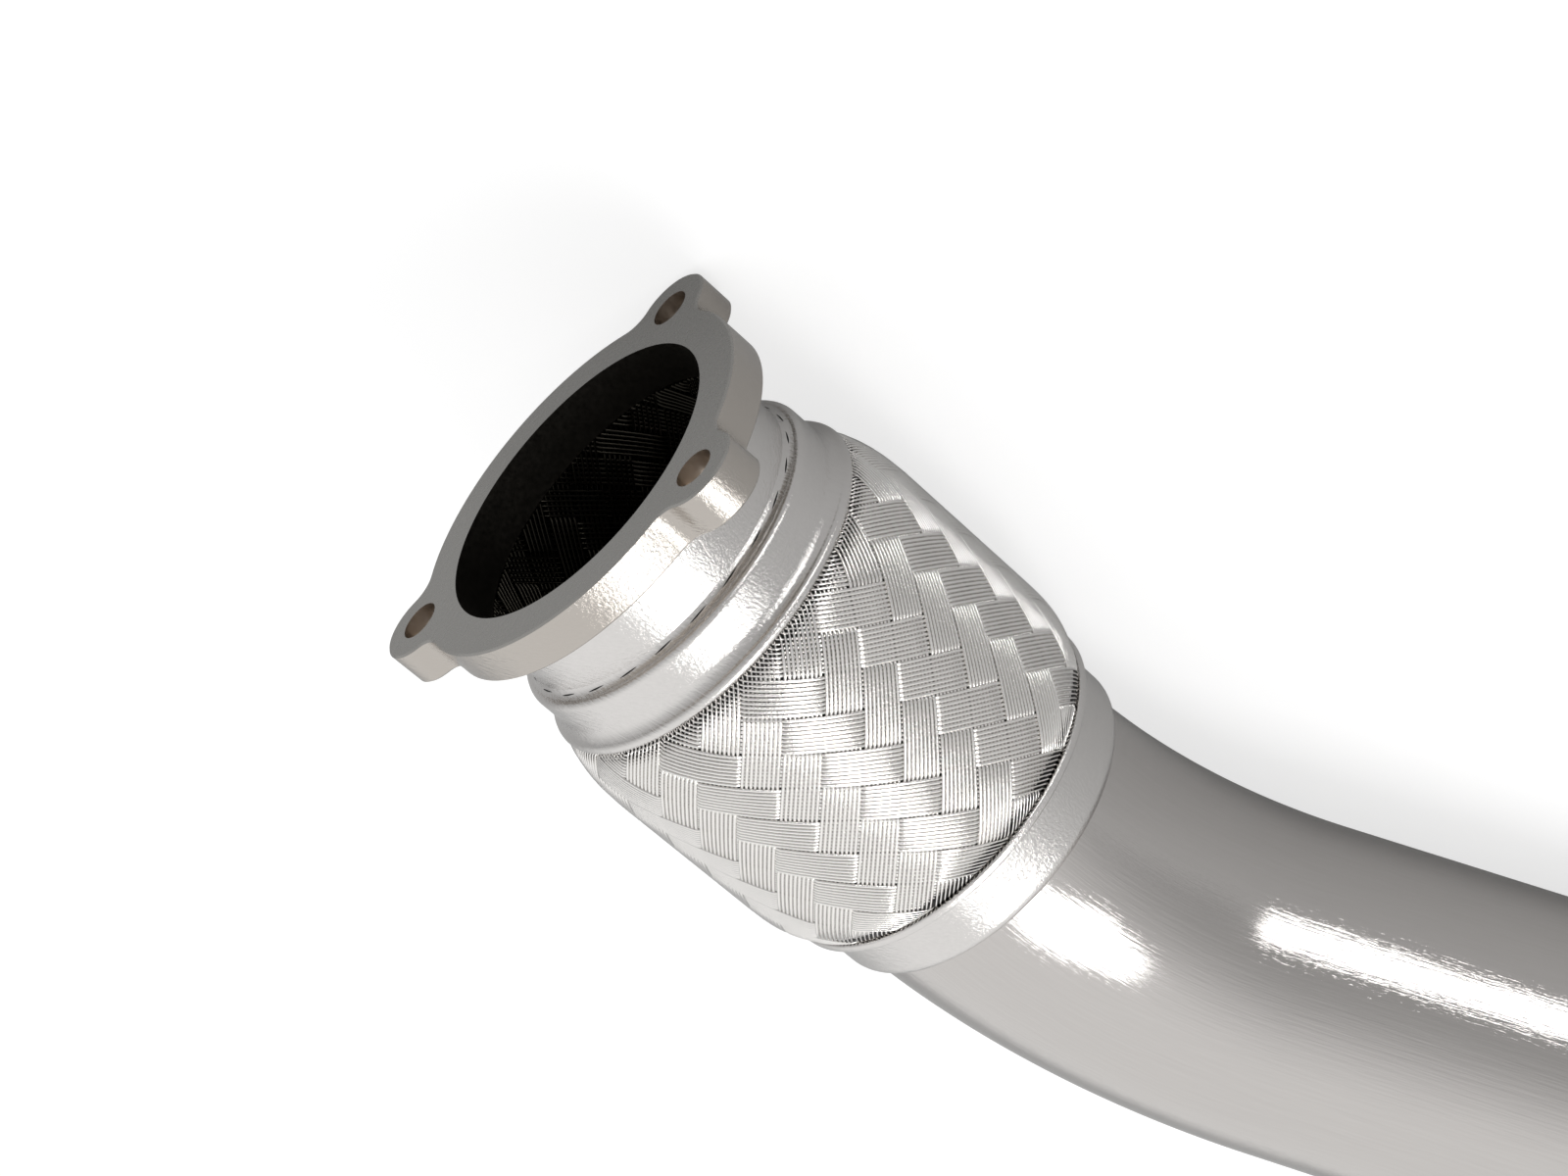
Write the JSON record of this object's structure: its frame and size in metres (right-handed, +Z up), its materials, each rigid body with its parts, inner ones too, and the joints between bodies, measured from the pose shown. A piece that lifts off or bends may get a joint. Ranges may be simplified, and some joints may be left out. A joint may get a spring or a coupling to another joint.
{
  "type": "exhaust bypass pipe",
  "caption": "Bent exhaust pipe with a braided flex section between two pressed collars and a flat inlet flange with three bolt ears.",
  "frame": {"origin": "centre of the inlet bore on the flange's face", "axes": "+Z up as the part lies on a floor, +X roughly from the flange into the flex section (its axis dips 5.25 degrees below +X), the pipe bends towards +Y"},
  "size_m": [0.3225, 0.1854, 0.0995],
  "materials": {
    "flange_plate": "flat, finely brushed plate with pale cut edges",
    "brushed_tube": "brushed round its girth",
    "braid_wire": "bright woven wire",
    "thin_sheet": "plain rolled sheet",
    "liner_sheet": "dull woven sleeve",
    "pipe_tube": "brushed along its length"
  },
  "bodies": {
    "front_end": {"inlet_flange": "flange_plate", "inlet_neck": "brushed_tube", "front_seam_weld": "brushed_tube", "front_collar": "brushed_tube", "outer_braid": "braid_wire", "bellows": "thin_sheet", "inner_liner": "liner_sheet"},
    "rear_end": {"rear_collar": "brushed_tube", "bypass_pipe": "pipe_tube"}
  },
  "joints": [
    {"name": "flex_bend", "type": "hinge", "parent": "front_end", "child": "rear_end", "pos_m": [0.07309, 0, -0.00672], "axis": [0.0911, -0.0915, 0.9916], "range_deg": [-4, 4], "stiffness_Nm_per_rad": 120, "deforming": ["outer_braid", "bellows", "inner_liner"]}
  ]
}
